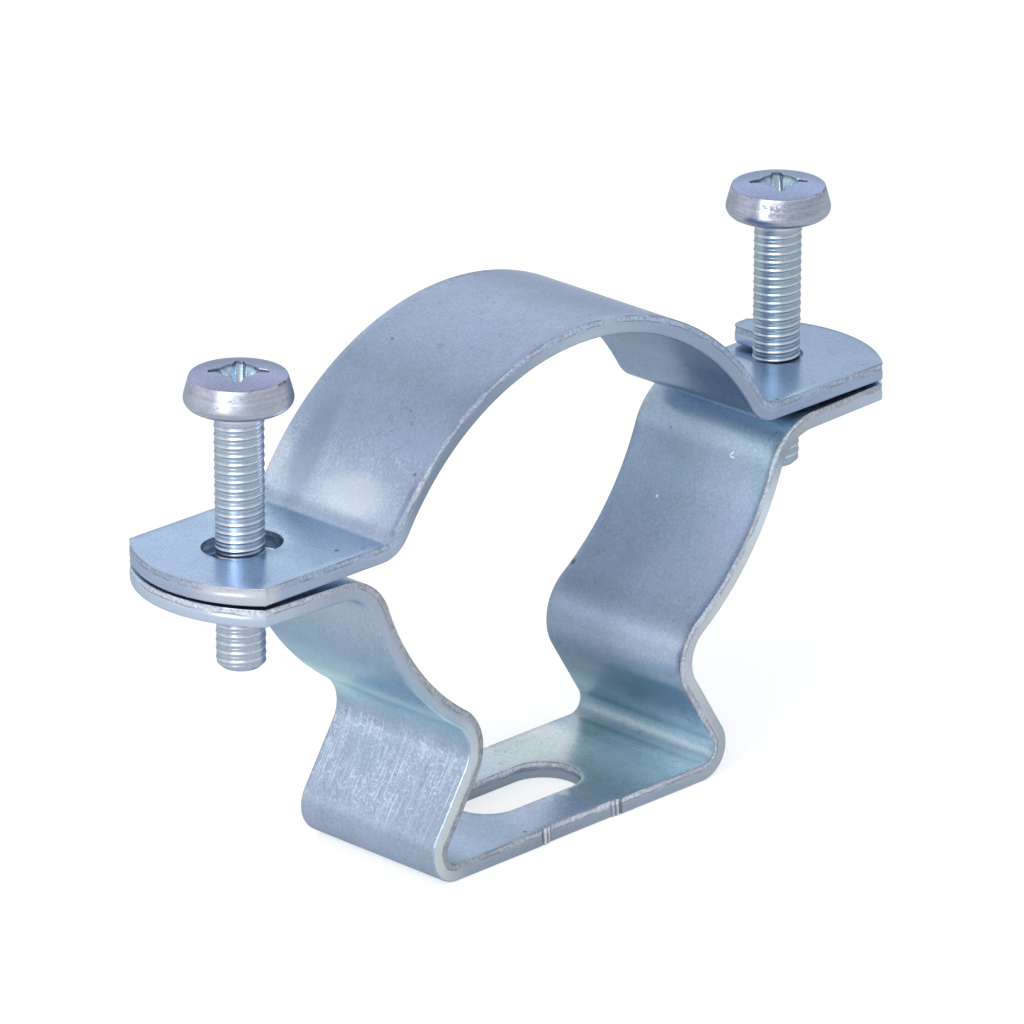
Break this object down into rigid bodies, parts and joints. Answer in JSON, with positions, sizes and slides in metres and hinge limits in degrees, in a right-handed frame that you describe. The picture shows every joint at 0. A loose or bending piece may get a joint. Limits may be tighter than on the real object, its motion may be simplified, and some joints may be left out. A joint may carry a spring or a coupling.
{
  "type": "spacer clamp",
  "caption": "Two-part bent steel spacer clamp for a pipe or cable: slotted foot, waisted legs, arched upper strap and raised cross-recess screws.",
  "frame": {"origin": "middle of the foot's underside, which stands on the wall or rail", "axes": "+X from the left flange to the right flange, Y along the pipe or cable, +Z from the foot up to the arch"},
  "size_m": [0.0752, 0.015, 0.0453],
  "materials": {
    "plated_strip": "satin bright zinc plating with a faint blue cast, fine drawing scratches",
    "plated_screw": "bright zinc plating, turned and rolled"
  },
  "bodies": {
    "lower_strap": {"lower_strap": "plated_strip"},
    "upper_strap": {"upper_strap": "plated_strip"},
    "screw_left": {"screw_left": "plated_screw"},
    "screw_right": {"screw_right": "plated_screw"}
  },
  "joints": [
    {"name": "strap_swing", "type": "hinge", "parent": "lower_strap", "child": "upper_strap", "pos_m": [-0.03, 0, 0.0297], "axis": [0, 0, 1], "range_deg": [-100, 0]},
    {"name": "screw_left_travel", "type": "slide", "parent": "lower_strap", "child": "screw_left", "axis": [0, 0, 1], "range_m": [-0.0115, 0.0062]},
    {"name": "screw_right_travel", "type": "slide", "parent": "lower_strap", "child": "screw_right", "axis": [0, 0, 1], "range_m": [-0.0119, 0.0058]}
  ]
}
